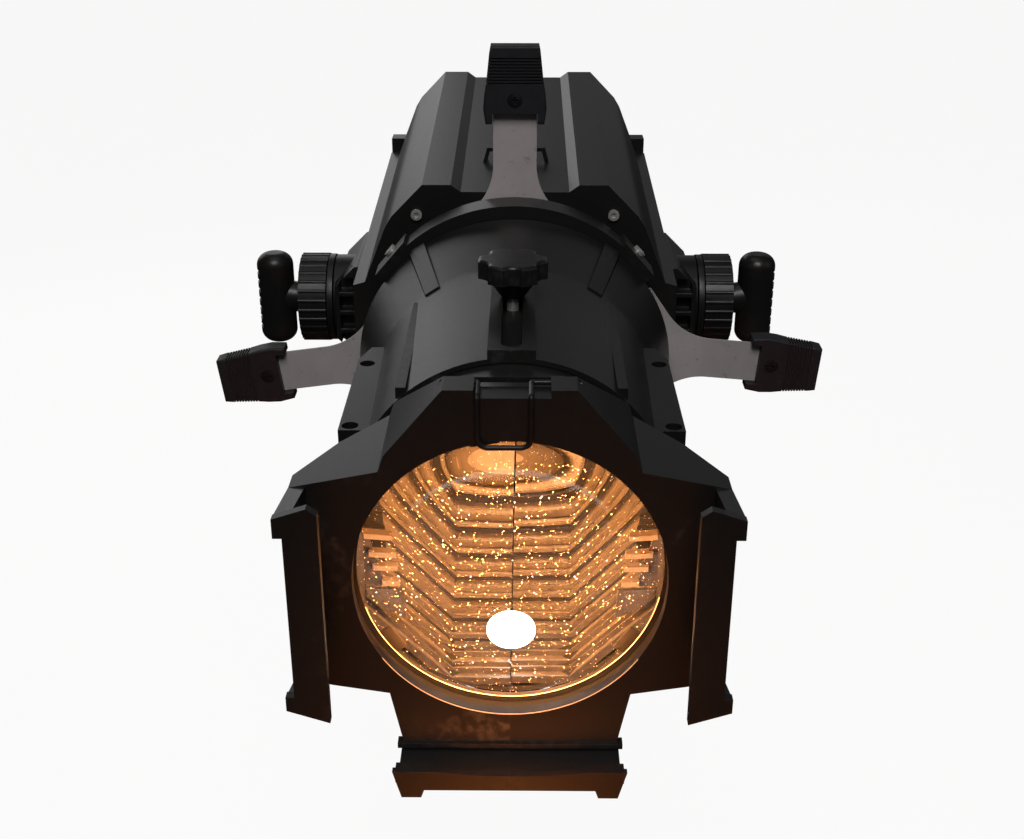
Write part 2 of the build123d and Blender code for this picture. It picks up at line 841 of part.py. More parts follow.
with BuildPart() as lens_holder:
    ring(285.5, 40, 56, 52)
    ring(323, 2.5, 52, 30)
    for angle in (45, 135, 225, 315):
        with BuildSketch(station(325.5)):
            with PolarLocations(53, 1, start_angle=angle):
                Circle(4)
        extrude(amount=-(engine_y - 325.5))
write(lens_holder, "lens_holder")

dome_lens("condenser_lens", 301.0, 4.0, 51.8, 16.0)

fan_y = 436.0
with BuildPart() as fan_frame:
    block(0, fan_y, 0, 113, 25, 113)
    ring(fan_y, 25, 53, 0, mode=Mode.SUBTRACT)
    for angle in range(4):
        with BuildSketch(station(fan_y + 22)):
            with PolarLocations(36, 1, start_angle=45 + 90 * angle):
                Rectangle(38, 4)
        extrude(amount=-3)
    ring(fan_y + 22, 3, 20, 0)
    ring(fan_y + 8, 14, 2, 0)
write(fan_frame, "fan_frame")

with BuildPart() as fan_rotor:
    ring(fan_y + 3, 17, 18, 0)
    for i in range(7):
        with BuildSketch(station(fan_y + 4)):
            with PolarLocations(33, 1, start_angle=i * 360 / 7):
                Rectangle(34, 7, rotation=14)
        extrude(amount=-14)
    ring(fan_y + 7, 14, 2.05, 0, mode=Mode.SUBTRACT)
write(fan_rotor, "fan_rotor")

with BuildPart() as driver_board:
    with BuildSketch(level(chassis_z + 1.5)):
        with Locations((0, 530)):
            with GridLocations(80, 80, 2, 2):
                Circle(3)
    extrude(amount=6)
    with BuildSketch(level(chassis_z + 7.5)):
        with Locations((0, 530)):
            Rectangle(100, 100)
    extrude(amount=1.6)
    with BuildSketch(level(chassis_z + 9.1)):
        with Locations((-30, 510), (-30, 545)):
            Circle(11)
        with Locations((5, 520)):
            Rectangle(26, 40)
        with Locations((36, 530)):
            Rectangle(20, 60)
    extrude(amount=24)
write(driver_board, "driver_board")

with BuildPart() as control_board:
    block(0, cover_rear - cover_thick - 8, 48, 96, 1.6, 40)
    for x, z in ((-44, 32), (44, 32), (-44, 64), (44, 64)):
        block(x, cover_rear - cover_thick - 6.4, z, 5, 6.4, 5)
write(control_board, "control_board")


# ---- tilt brackets, hubs, T-handles and yoke -----------------------------------
def tilt_bracket(side, name):
    """Side casting that carries the tilt boss, with a ribbed front pocket."""
    with BuildPart() as bracket:
        with BuildSketch(station(320)):
            with BuildLine():
                Polyline(
                    (side * 85, 30), (side * 99, 30), (side * bracket_out, 17),
                    (side * bracket_out, -17), (side * 99, -30), (side * 85, -30),
                    close=True,
                )
            make_face()
        extrude(amount=-75)
        house_solid(house_front, house_rear, 0, mode=Mode.SUBTRACT)
        with BuildSketch(upright(side * 99)):
            with Locations((tilt_y, 0)):
                Circle(27)
        extrude(amount=side * (boss_out - 99))
        for i in range(4):
            block(side * 104.5, 320, -18 + 12 * i, 9, 8, 9, mode=Mode.SUBTRACT)
        with BuildSketch(upright(side * 90)):
            with Locations((tilt_y, 0)):
                Circle(bolt_r + 0.06)
        extrude(amount=side * 30, mode=Mode.SUBTRACT)
        with BuildSketch(upright(side * 90)):
            with Locations((bracket_screw_y, 0)):
                Circle(2.6)
        extrude(amount=side * 30, mode=Mode.SUBTRACT)
        with BuildSketch(upright(side * (bracket_out - 3))):
            with Locations((bracket_screw_y, 0)):
                Circle(5.4)
        extrude(amount=side * 3, mode=Mode.SUBTRACT)
    write(bracket, name)


def hub_disc(side, name):
    """Ribbed clamp disc between the yoke arm and the T-handle."""
    with BuildPart() as disc:
        with BuildSketch(upright(side * disc_in)):
            with Locations((tilt_y, 0)):
                Circle(hub_r)
                with PolarLocations(hub_r - 0.9, 28):
                    Circle(1.5)
        extrude(amount=side * (disc_out - disc_in))
        with BuildSketch(upright(side * disc_in)):
            with Locations((tilt_y, 0)):
                Circle(bolt_r + 0.06)
        extrude(amount=side * (disc_out - disc_in), mode=Mode.SUBTRACT)
    write(disc, name)


def tee_handle(side, name):
    """T-shaped hand grip moulded onto the tilt bolt's end."""
    with BuildPart() as handle:
        with BuildSketch(level(0)):
            with Locations((side * tee_x, tilt_y)):
                Circle(tee_r)
        extrude(amount=tee_half, both=True)
        ends = handle.edges().filter_by(GeomType.CIRCLE)
        fillet(ends, 8)
        with BuildSketch(upright(side * (disc_out + gap))):
            with Locations((tilt_y, 0)):
                Circle(9.0)
        with BuildSketch(upright(side * (tee_x - 4))):
            with Locations((tilt_y, 0)):
                Ellipse(9.5, 11.5)
        loft()
        for i in range(7):
            block(side * (tee_x + tee_r), tilt_y - 20, -18 + 6 * i, 4, 40, 2.6,
                  mode=Mode.SUBTRACT)
        with BuildSketch(upright(side * (disc_out - 5))):
            with Locations((tilt_y, 0)):
                Circle(bolt_r)
        extrude(amount=side * (tee_x - disc_out + 5), mode=Mode.SUBTRACT)
    write(handle, name)


def tilt_bolt(side, name):
    """Bolt through the clamp disc, the yoke arm and the bracket's boss."""
    with BuildPart() as bolt:
        with BuildSketch(upright(side * 88)):
            with Locations((tilt_y, 0)):
                Circle(bolt_r)
        extrude(amount=side * (tee_x - 88))
    write(bolt, name)


for side, side_name in ((-1, "left"), (1, "right")):
    tilt_bracket(side, f"tilt_bracket_{side_name}")
    hub_disc(side, f"hub_disc_{side_name}")
    tee_handle(side, f"tee_handle_{side_name}")
    tilt_bolt(side, f"tilt_bolt_{side_name}")

with BuildPart() as bracket_screws:
    for side in (-1, 1):
        with BuildSketch(upright(side * 90)):
            with Locations((bracket_screw_y, 0)):
                Circle(2.5)
        extrude(amount=side * (bracket_out - 93))
        with BuildSketch(upright(side * (bracket_out - 3))):
            with Locations((bracket_screw_y, 0)):
                Circle(5.2)
        extrude(amount=side * 2.5)
write(bracket_screws, "bracket_screws")

yoke_plane = Plane(origin=(0, 0, 0), x_dir=(1, 0, 0),
                   z_dir=(0, sin(radians(yoke_fold)), cos(radians(yoke_fold))))
with BuildPart() as yoke:
    with BuildSketch(yoke_plane):
        with Locations((0, -yoke_reach / 2)):
            Rectangle(2 * (yoke_half + bar_thick), yoke_reach + bar_thick)
    extrude(amount=bar_width / 2, both=True)
    corners = yoke.edges().filter_by(Axis((0, 0, 0), yoke_plane.z_dir))
    fillet(corners.sort_by(Axis.Y)[-2:], 14)
    with BuildSketch(yoke_plane):
        with Locations((0, -yoke_reach / 2 - bar_thick)):
            RectangleRounded(2 * yoke_half, yoke_reach + bar_thick, 10)
        with Locations((0, -yoke_reach)):
            Rectangle(2 * yoke_half, 60)
    extrude(amount=bar_width / 2, both=True, mode=Mode.SUBTRACT)
    for side in (-1, 1):
        with BuildSketch(upright(side * yoke_half)):
            with Locations((tilt_y, 0)):
                Circle(hub_r)
        extrude(amount=side * bar_thick)
        with BuildSketch(upright(side * yoke_half)):
            with Locations((tilt_y, 0)):
                Circle(bolt_r + 0.06)
        extrude(amount=side * bar_thick, mode=Mode.SUBTRACT)
    with BuildSketch(Plane(origin=(0, 0, 0), x_dir=(1, 0, 0),
                           z_dir=(0, cos(radians(yoke_fold)), -sin(radians(yoke_fold))))):
        Circle(hang_hole_r)
        with Locations((-45, 0), (45, 0)):
            Circle(4.2)
    extrude(amount=10, both=True, mode=Mode.SUBTRACT)
write(yoke, "yoke")
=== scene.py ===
import json
from math import cos, pi, radians, sin, sqrt, tan
from random import Random

import bmesh
import bpy
from mathutils import Matrix, Vector


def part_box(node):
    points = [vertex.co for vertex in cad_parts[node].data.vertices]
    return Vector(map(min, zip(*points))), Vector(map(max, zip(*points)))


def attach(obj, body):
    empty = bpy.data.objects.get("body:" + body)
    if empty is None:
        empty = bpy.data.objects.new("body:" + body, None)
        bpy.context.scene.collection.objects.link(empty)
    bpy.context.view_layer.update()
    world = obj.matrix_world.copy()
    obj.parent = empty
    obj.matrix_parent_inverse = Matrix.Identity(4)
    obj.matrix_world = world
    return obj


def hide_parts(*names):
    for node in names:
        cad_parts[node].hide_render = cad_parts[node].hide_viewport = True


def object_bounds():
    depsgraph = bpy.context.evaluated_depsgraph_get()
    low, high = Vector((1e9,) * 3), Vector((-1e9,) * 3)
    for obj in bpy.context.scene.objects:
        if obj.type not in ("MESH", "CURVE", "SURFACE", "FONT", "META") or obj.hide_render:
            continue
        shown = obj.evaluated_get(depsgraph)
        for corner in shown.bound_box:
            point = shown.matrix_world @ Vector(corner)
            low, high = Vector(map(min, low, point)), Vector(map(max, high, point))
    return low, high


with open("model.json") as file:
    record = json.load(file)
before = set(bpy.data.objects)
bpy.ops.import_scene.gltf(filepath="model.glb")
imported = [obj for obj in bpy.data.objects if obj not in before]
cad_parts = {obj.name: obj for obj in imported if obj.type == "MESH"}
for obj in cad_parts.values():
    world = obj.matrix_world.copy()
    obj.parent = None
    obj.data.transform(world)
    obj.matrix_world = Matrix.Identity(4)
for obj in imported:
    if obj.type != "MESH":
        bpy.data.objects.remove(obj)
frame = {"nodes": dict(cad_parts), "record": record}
cad_low, cad_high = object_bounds()

# ---- places, worked out from the frame ------------------------------------
MM = 0.001
RING_DEPTH = 12  # the retaining ring's front edge behind the gel holder's face
ring_low, ring_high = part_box("lens_ring")
AXIS_X = (ring_low[0] + ring_high[0]) / 2
AXIS_Z = (ring_low[2] + ring_high[2]) / 2
FACE_Y = ring_low[1] - RING_DEPTH * MM


def head(x, y, z):
    """Point by millimetres from the optical axis and behind the gel holder's face."""
    return Vector((AXIS_X + x * MM, FACE_Y + y * MM, AXIS_Z + z * MM))


# ---- node helpers ------------------------------------------------------------
class Finish:
    """A procedural material under construction, with short ways to add nodes."""

    def __init__(self, name):
        self.material = bpy.data.materials.new(name)
        self.material.use_nodes = True
        self.tree = self.material.node_tree
        self.shader = self.tree.nodes["Principled BSDF"]
        self.coords = self.add("ShaderNodeTexCoord").outputs["Object"]

    def add(self, kind, **values):
        node = self.tree.nodes.new(kind)
        for key, value in values.items():
            setattr(node, key, value)
        return node

    def link(self, output, socket):
        self.tree.links.new(output, socket)

    def put(self, name, value):
        """Sets or links one input of the main shader."""
        socket = self.shader.inputs[name]
        if isinstance(value, bpy.types.NodeSocket):
            self.link(value, socket)
        else:
            socket.default_value = value

    def noise(self, scale, detail=4.0, rough=0.55, stretch=None):
        """Cloudy pattern from 0 to 1 in the object's own metres, stretched if asked."""
        node = self.add("ShaderNodeTexNoise")
        node.inputs["Scale"].default_value = scale
        node.inputs["Detail"].default_value = detail
        node.inputs["Roughness"].default_value = rough
        source = self.coords
        if stretch:
            mapping = self.add("ShaderNodeMapping")
            mapping.inputs["Scale"].default_value = stretch
            self.link(self.coords, mapping.inputs["Vector"])
            source = mapping.outputs["Vector"]
        self.link(source, node.inputs["Vector"])
        return node.outputs["Fac"]

    def ramp(self, value, low, high, out_low=0.0, out_high=1.0):
        """Takes the range low to high onto out_low to out_high, and holds it there."""
        node = self.add("ShaderNodeMapRange")
        node.inputs["From Min"].default_value = low
        node.inputs["From Max"].default_value = high
        node.inputs["To Min"].default_value = out_low
        node.inputs["To Max"].default_value = out_high
        self.link(value, node.inputs["Value"])
        return node.outputs["Result"]

    def multiply(self, a, b):
        node = self.add("ShaderNodeMath", operation="MULTIPLY")
        for socket, value in zip(node.inputs, (a, b)):
            if isinstance(value, bpy.types.NodeSocket):
                self.link(value, socket)
            else:
                socket.default_value = value
        return node.outputs["Value"]

    def mix(self, factor, a, b):
        node = self.add("ShaderNodeMix", data_type="RGBA")
        for socket, value in ((node.inputs["Factor"], factor), (node.inputs["A"], a),
                              (node.inputs["B"], b)):
            if isinstance(value, bpy.types.NodeSocket):
                self.link(value, socket)
            elif isinstance(value, (int, float)):
                socket.default_value = value
            else:
                socket.default_value = (*value, 1.0)
        return node.outputs["Result"]

    def bump(self, height, strength, distance):
        """Fine relief; distance is in metres."""
        node = self.add("ShaderNodeBump")
        node.inputs["Strength"].default_value = strength
        node.inputs["Distance"].default_value = distance
        self.link(height, node.inputs["Height"])
        return node.outputs["Normal"]


def edge_wear(finish, amount):
    """Mask of sharp outer edges, broken up by noise."""
    point = finish.add("ShaderNodeNewGeometry").outputs["Pointiness"]
    edge = finish.ramp(point, 0.53, 0.62)
    breakup = finish.ramp(finish.noise(260, 5), 0.45, 0.7)
    return finish.multiply(finish.multiply(edge, breakup), amount)


# ---- materials ------------------------------------------------------------------
def powder_coat():
    """Smooth satin black powder coat: very fine grain, a little dust, faint wear on edges."""
    f = Finish("powder_coat")
    colour = f.mix(f.noise(7, 2), (0.0105, 0.0100, 0.0098), (0.0135, 0.0130, 0.0126))
    dust = f.ramp(f.noise(700, 4, 0.6), 0.62, 0.85, 0.0, 0.15)
    colour = f.mix(dust, colour, (0.030, 0.028, 0.026))
    colour = f.mix(edge_wear(f, 0.35), colour, (0.10, 0.098, 0.094))
    f.put("Base Color", colour)
    f.put("Roughness", f.ramp(f.noise(900, 4), 0.3, 0.7, 0.36, 0.42))
    f.put("Specular IOR Level", 0.5)
    f.put("Normal", f.bump(f.noise(2400, 2, 0.6), 0.10, 0.00008))
    return f.material


def black_plastic():
    """Moulded black knobs and covers, a little worn at the edges."""
    f = Finish("black_plastic")
    colour = f.mix(f.noise(40, 4), (0.010, 0.0095, 0.0095), (0.017, 0.0165, 0.016))
    f.put("Base Color", f.mix(edge_wear(f, 0.4), colour, (0.06, 0.06, 0.06)))
    f.put("Roughness", f.ramp(f.noise(90, 5), 0.3, 0.7, 0.28, 0.42))
    f.put("Normal", f.bump(f.noise(1500, 3), 0.12, 0.0001))
    return f.material


def handle_plastic():
    """Matte black moulding of the shutter handles, a little purple, with dust."""
    f = Finish("handle_plastic")
    colour = f.mix(f.noise(50, 5), (0.0135, 0.012, 0.0145), (0.022, 0.019, 0.0235))
    dust = f.ramp(f.noise(150, 6, 0.7), 0.58, 0.8, 0.0, 0.3)
    f.put("Base Color", f.mix(dust, colour, (0.05, 0.05, 0.052)))
    f.put("Roughness", f.ramp(f.noise(120, 4), 0.3, 0.7, 0.5, 0.66))
    f.put("Normal", f.bump(f.noise(1300, 3), 0.25, 0.00015))
    return f.material


def blade_steel():
    """Heat-stained matte stainless sheet with fine scratches."""
    f = Finish("blade_steel")
    stain = f.noise(22, 5, 0.6)
    colour = f.mix(f.ramp(stain, 0.35, 0.65), (0.60, 0.54, 0.53), (0.72, 0.655, 0.64))
    spots = f.ramp(f.noise(190, 6, 0.7), 0.62, 0.70, 0.0, 0.75)
    f.put("Base Color", f.mix(spots, colour, (0.14, 0.11, 0.11)))
    f.put("Metallic", 0.15)
    f.put("Roughness", f.ramp(f.noise(55, 5), 0.3, 0.7, 0.42, 0.55))
    scratches = f.noise(700, 3, 0.7, stretch=(1.0, 1.0, 0.06))
    f.put("Normal", f.bump(scratches, 0.12, 0.00008))
    return f.material


def bright_metal(name, colour, rough, metallic=1.0):
    """Bare metal with fine variation in tone and gloss."""
    f = Finish(name)
    tint = tuple(c * 0.88 for c in colour)
    f.put("Base Color", f.mix(f.noise(300, 4), tint, colour))
    f.put("Metallic", metallic)
    f.put("Roughness", f.ramp(f.noise(500, 4), 0.3, 0.7, rough, rough + 0.08))
    return f.material


def satin_black_metal():
    """Blackened steel of screws and wire."""
    f = Finish("satin_black_metal")
    f.put("Base Color", f.mix(f.noise(200, 4), (0.012, 0.012, 0.012), (0.024, 0.023, 0.022)))
    f.put("Metallic", 0.3)
    f.put("Roughness", f.ramp(f.noise(300, 4), 0.3, 0.7, 0.3, 0.44))
    f.put("Normal", f.bump(f.noise(1500, 2), 0.1, 0.00005))
    return f.material


def dark_anodised():
    """Brown-black anodised aluminium."""
    f = Finish("dark_anodised")
    f.put("Base Color", f.mix(f.noise(80, 4), (0.03, 0.026, 0.022), (0.055, 0.047, 0.04)))
    f.put("Metallic", 0.6)
    f.put("Roughness", f.ramp(f.noise(200, 4), 0.3, 0.7, 0.3, 0.45))
    f.put("Normal", f.bump(f.noise(1500, 2), 0.1, 0.00005))
    return f.material


def tube_lining():
    """Satin lining of the lens tube, mottled with dust that the lamp lights up."""
    f = Finish("tube_lining")
    mottle = f.ramp(f.noise(160, 6, 0.75), 0.35, 0.68)
    colour = f.mix(mottle, (0.060, 0.052, 0.044), (0.115, 0.100, 0.082))
    specks = f.ramp(f.noise(900, 3, 0.6), 0.66, 0.72, 0.0, 0.4)
    f.put("Base Color", f.mix(specks, colour, (0.6, 0.56, 0.5)))
    f.put("Roughness", f.ramp(f.noise(200, 4), 0.3, 0.7, 0.3, 0.5))
    f.put("Normal", f.bump(f.noise(900, 3), 0.12, 0.0001))
    return f.material


def optical_glass():
    """Clear glass with faint dust haze in its roughness, bending light weakly."""
    f = Finish("optical_glass")
    f.put("Base Color", f.mix(f.noise(20, 3), (1.0, 0.99, 0.97), (0.97, 0.97, 0.96)))
    f.put("Transmission Weight", 1.0)
    f.put("IOR", 1.25)
    f.put("Specular IOR Level", 0.06)
    f.put("Roughness", f.ramp(f.noise(120, 6, 0.7), 0.62, 0.85, 0.0, 0.04))
    return f.material


def circuit_board():
    """Green board with fine tracks."""
    f = Finish("circuit_board")
    tracks = f.ramp(f.noise(420, 2, 0.4, stretch=(1.0, 0.1, 1.0)), 0.5, 0.53)
    f.put("Base Color", f.mix(tracks, (0.008, 0.055, 0.022), (0.02, 0.11, 0.04)))
    f.put("Roughness", f.ramp(f.noise(90, 3), 0.3, 0.7, 0.3, 0.45))
    return f.material


def led_phosphor():
    """Yellow phosphor of the lit source."""
    f = Finish("led_phosphor")
    f.put("Base Color", f.mix(f.noise(500, 3), (0.8, 0.5, 0.08), (0.9, 0.62, 0.15)))
    f.put("Roughness", 0.4)
    f.put("Emission Color", (1.0, 0.62, 0.3, 1.0))
    f.put("Emission Strength", f.ramp(f.noise(700, 2), 0.3, 0.7, 8.0, 12.0))
    return f.material


def display_glass():
    """Dark glossy window with smudges in its gloss."""
    f = Finish("display_glass")
    f.put("Base Color", f.mix(f.noise(30, 3), (0.004, 0.005, 0.007), (0.01, 0.012, 0.015)))
    f.put("Roughness", f.ramp(f.noise(160, 5), 0.4, 0.7, 0.06, 0.18))
    return f.material


def glowing(name, colour, strength):
    """Surface that gives off its own light, for what the lamp makes shine."""
    f = Finish(name)
    f.put("Base Color", (*colour, 1.0))
    f.put("Roughness", f.ramp(f.noise(300, 3), 0.3, 0.7, 0.4, 0.6))
    f.put("Emission Color", f.mix(f.noise(400, 3), colour, tuple(c * 0.92 for c in colour)))
    f.put("Emission Strength", strength)
    return f.material


finish_of_slot = {
    "powder_coat": powder_coat(),
    "black_plastic": black_plastic(),
    "handle_plastic": handle_plastic(),
    "blade_steel": blade_steel(),
    "black_screw": satin_black_metal(),
    "bright_screw": bright_metal("bright_screw", (0.80, 0.78, 0.74), 0.2, 0.55),
    "black_wire": satin_black_metal(),
    "optical_glass": optical_glass(),
    "dark_anodised": dark_anodised(),
    "bare_aluminium": bright_metal("bare_aluminium", (0.66, 0.66, 0.67), 0.35),
    "sheet_steel": bright_metal("sheet_steel", (0.45, 0.46, 0.47), 0.35),
    "circuit_board": circuit_board(),
    "led_yellow": led_phosphor(),
    "display_glass": display_glass(),
    "tube_lining": tube_lining(),
    # the rungs' pale warm tone is painted lamp light
    "lit_rung": bright_metal("lit_rung", (0.42, 0.32, 0.19), 0.35, 0.3),
    # glowing arcs that paint the lamp's highlight on the rings' edges
    "painted_edge_highlight": glowing("painted_edge_highlight", (1.0, 0.62, 0.34), 0.45),
}

slot_of_node = {entry["node"]: entry["material_slot"] for entry in frame["record"]["subparts"]}


def smooth(piece, angle=32):
    """Smooth shading that keeps edges sharper than angle."""
    bpy.ops.object.select_all(action="DESELECT")
    piece.select_set(True)
    bpy.context.view_layer.objects.active = piece
    bpy.ops.object.shade_smooth_by_angle(angle=radians(angle))


def join_faces(piece):
    """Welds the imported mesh's faces together, so that its edges can be rounded."""
    weld = piece.modifiers.new("joined_faces", "WELD")
    weld.merge_threshold = 0.002 * MM


def round_edges(piece, width, segments=2):
    """Narrow rounded edges, as on a casting or a moulding."""
    bevel = piece.modifiers.new("rounded_edges", "BEVEL")
    bevel.width = width
    bevel.segments = segments
    bevel.limit_method = "ANGLE"
    bevel.angle_limit = radians(35)
    bevel.use_clamp_overlap = True
    bevel.harden_normals = True


def flatten_shading(piece):
    """Keeps large faces flat beside their rounded edges."""
    weigh = piece.modifiers.new("flat_faces", "WEIGHTED_NORMAL")
    weigh.mode = "FACE_AREA"
    weigh.weight = 80
    weigh.keep_sharp = True


# widths of the rounded edges, in millimetres
edge_of_slot = {"powder_coat": 0.5, "black_plastic": 0.4, "handle_plastic": 0.5,
                "black_screw": 0.25, "bright_screw": 0.25}
edge_of_node = {"housing_shell": 1.8}

for node_name, node in frame["nodes"].items():
    material_slot = slot_of_node[node_name]
    node.data.materials.clear()
    node.data.materials.append(finish_of_slot[material_slot])
    if material_slot in edge_of_slot:
        join_faces(node)
        round_edges(node, edge_of_node.get(node_name, edge_of_slot[material_slot]) * MM)
    smooth(node)
    if material_slot in edge_of_slot:
        flatten_shading(node)


# ---- inside the lens tube -------------------------------------------------------
def mesh_piece(name, fill, material, body):
    """New mesh object filled by a bmesh function, riding on a body."""
    mesh = bpy.data.meshes.new(name)
    shape = bmesh.new()
    fill(shape)
    shape.to_mesh(mesh)
    shape.free()
    piece = bpy.data.objects.new(name, mesh)
    bpy.context.collection.objects.link(piece)
    mesh.materials.append(material)
    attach(piece, body)
    return piece


def terraces(side):
    """One half of the stepped octagonal liner that the tube's inside shows through the lens."""
    wall = 1.2
    seam = 0.25
    shift = 0.8 * side
    steps, first, pitch = 20, 26, 7.9
    front_apothem = 61.9
    taper, taper_from = 0.094, 58
    every_other = 0.9
    riser, lip = 2.3, 0.9
    stations = []
    for i in range(steps):
        y = first + pitch * i + shift
        apothem = front_apothem - taper * max(0.0, y - taper_from) - (every_other if i % 2 else 0.0)
        stations += [(y, apothem + riser), (y + 0.05, apothem), (y + lip, apothem)]
    stations.append((first + pitch * steps + shift, apothem + 2.0))
    corner = tan(radians(22.5))

    def outline(y, apothem):
        reach = apothem * corner
        points = [(seam, apothem), (reach, apothem), (apothem, reach),
                  (apothem, -reach), (reach, -apothem), (seam, -apothem)]
        return [head(side * x, y, z) for x, z in points]

    def fill(shape):
        rows = [[[shape.verts.new(point) for point in outline(y, apothem + skin)]
                 for y, apothem in stations] for skin in (0.0, wall)]
        for skin in rows:
            for one, two in zip(skin, skin[1:]):
                for k in range(5):
                    shape.faces.new((one[k], one[k + 1], two[k + 1], two[k]))
        inner, outer = rows
        for j in (0, -1):
            for k in range(5):
                shape.faces.new((inner[j][k], inner[j][k + 1], outer[j][k + 1], outer[j][k]))
        for k in (0, -1):
            for j in range(len(stations) - 1):
                shape.faces.new((inner[j][k], inner[j + 1][k], outer[j + 1][k], outer[j][k]))
        bmesh.ops.recalc_face_normals(shape, faces=shape.faces)
    name = "tube_terraces_left" if side < 0 else "tube_terraces_right"
    piece = mesh_piece(name, fill, finish_of_slot["tube_lining"], "lens_tube")
    return piece


def front_glass():
    """The plano-convex front lens, flat to the front, with evenly smooth faces."""
    low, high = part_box("front_lens")
    radius = (high[0] - low[0]) / 2
    edge = 6 * MM
    rise = high[1] - low[1] - edge
    ball = (radius ** 2 + rise ** 2) / (2 * rise)
    rings, sides = 40, 96
    profile = [(radius * i / rings, 0.0) for i in range(1, rings + 1)]
    for i in range(rings, 0, -1):
        r = radius * i / rings
        profile.append((r, edge + rise - ball + sqrt(ball ** 2 - r ** 2)))

    def fill(shape):
        def at(r, depth, angle):
            return (AXIS_X + r * cos(angle), low[1] + depth, AXIS_Z + r * sin(angle))
        loops = [[shape.verts.new(at(r, depth, 2 * pi * k / sides)) for k in range(sides)]
                 for r, depth in profile]
        front = shape.verts.new(at(0, 0, 0))
        back = shape.verts.new(at(0, edge + rise, 0))
        for k in range(sides):
            n = (k + 1) % sides
            shape.faces.new((front, loops[0][k], loops[0][n]))
            shape.faces.new((back, loops[-1][n], loops[-1][k]))
            for one, two in zip(loops, loops[1:]):
                shape.faces.new((one[k], two[k], two[n], one[n]))
        bmesh.ops.recalc_face_normals(shape, faces=shape.faces)
    piece = mesh_piece("front_glass", fill, finish_of_slot["optical_glass"], "lens_tube")
    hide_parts("front_lens")
    smooth(piece, 25)
    piece.visible_shadow = False
    return piece


def add_prism(shape, outline, y_front, y_back):
    """Closed prism from an outline of (x, z) points, along the optical axis."""
    front = [shape.verts.new(head(x, y_front, z)) for x, z in outline]
    back = [shape.verts.new(head(x, y_back, z)) for x, z in outline]
    count = len(outline)
    shape.faces.new(front)
    shape.faces.new(back[::-1])
    for k in range(count):
        n = (k + 1) % count
        shape.faces.new((front[k], back[k], back[n], front[n]))
    bmesh.ops.recalc_face_normals(shape, faces=shape.faces)


def rungs(side):
    """Rungs at mid height that hold a second lens, in a pale warm tone that paints the lamp's light
    on them.
    """
    # height, inner end and outer end of each rung
    spans = ((7.0, 50.0, 61.5), (-1.5, 48.7, 60.0), (-8.0, 48.3, 58.5), (-15.5, 47.5, 55.0))
    half_thick = 1.3
    front, back = 28.5, 33.0

    def fill(shape):
        for z, inner, outer in spans:
            add_prism(shape, [(side * inner, z - half_thick), (side * outer, z - half_thick),
                              (side * outer, z + half_thick), (side * inner, z + half_thick)],
                      front, back)
    name = "rungs_left" if side < 0 else "rungs_right"
    piece = mesh_piece(name, fill, finish_of_slot["lit_rung"], "lens_tube")
    round_edges(piece, 0.3 * MM)
    return piece


def side_rack(side):
    """Sloping cheeks beside and below the rungs."""
    thick = 2.5
    cheeks = (
        (30.5, ((62.0, 9.0), (59.5, 6.0), (53.5, -17.4), (61.8, -17.4))),
        (28.5, ((61.8, -18.2), (46.0, -18.6), (45.0, -33.0), (58.0, -26.0))),
    )

    def fill(shape):
        for front, outline in cheeks:
            add_prism(shape, [(side * x, z) for x, z in outline], front, front + thick)
    name = "side_rack_left" if side < 0 else "side_rack_right"
    piece = mesh_piece(name, fill, finish_of_slot["tube_lining"], "lens_tube")
    round_edges(piece, 0.3 * MM)
    return piece


def bright_edge(name, y, radius, start, end, wire):
    """Thin glowing arc on a ring's edge, a painted highlight of the lamp's light grazing it, from
    the start angle to the end angle, in degrees.
    """
    steps, facets = 96, 6
    turns = [2 * pi * k / facets for k in range(facets)]

    def fill(shape):
        rows = []
        for i in range(steps + 1):
            angle = radians(start + (end - start) * i / steps)
            out = Vector((cos(angle), 0, sin(angle)))
            centre = head(0, y, 0) + out * radius * MM
            rows.append([shape.verts.new(centre + wire * MM * (out * cos(turn)
                         + Vector((0, 1, 0)) * sin(turn)))
                         for turn in turns])
        for one, two in zip(rows, rows[1:]):
            for k in range(facets):
                n = (k + 1) % facets
                shape.faces.new((one[k], one[n], two[n], two[k]))
        shape.faces.new(rows[0])
        shape.faces.new(rows[-1][::-1])
        bmesh.ops.recalc_face_normals(shape, faces=shape.faces)
    piece = mesh_piece(name, fill, finish_of_slot["painted_edge_highlight"], "lens_tube")
    return piece


def source_image():
    """Flat bright disc for the image of the source that the lens shows below the axis."""
    radius = 10.7 * MM
    thick = 0.6 * MM
    lean = Matrix.Rotation(radians(9), 4, "X")
    upright = Matrix.Rotation(radians(90), 4, "X")
    place = Matrix.Translation(head(0, 47, -48)) @ upright

    def fill(shape):
        bmesh.ops.create_cone(shape, cap_ends=True, segments=48, radius1=radius, radius2=radius,
                              depth=thick, matrix=place @ lean)
    piece = mesh_piece("source_image", fill, glowing("source_glow", (1.0, 0.97, 0.9), 6.0),
                       "lens_tube")
    return piece


def add_speck(shape, place, size):
    """Small eight-sided grain."""
    tips = [shape.verts.new(place @ (size * Vector(tip))) for tip in
            ((1, 0, 0), (0, 1, 0), (-1, 0, 0), (0, -1, 0), (0, 0, 1), (0, 0, -1))]
    for k in range(4):
        n = (k + 1) % 4
        shape.faces.new((tips[k], tips[n], tips[4]))
        shape.faces.new((tips[n], tips[k], tips[5]))


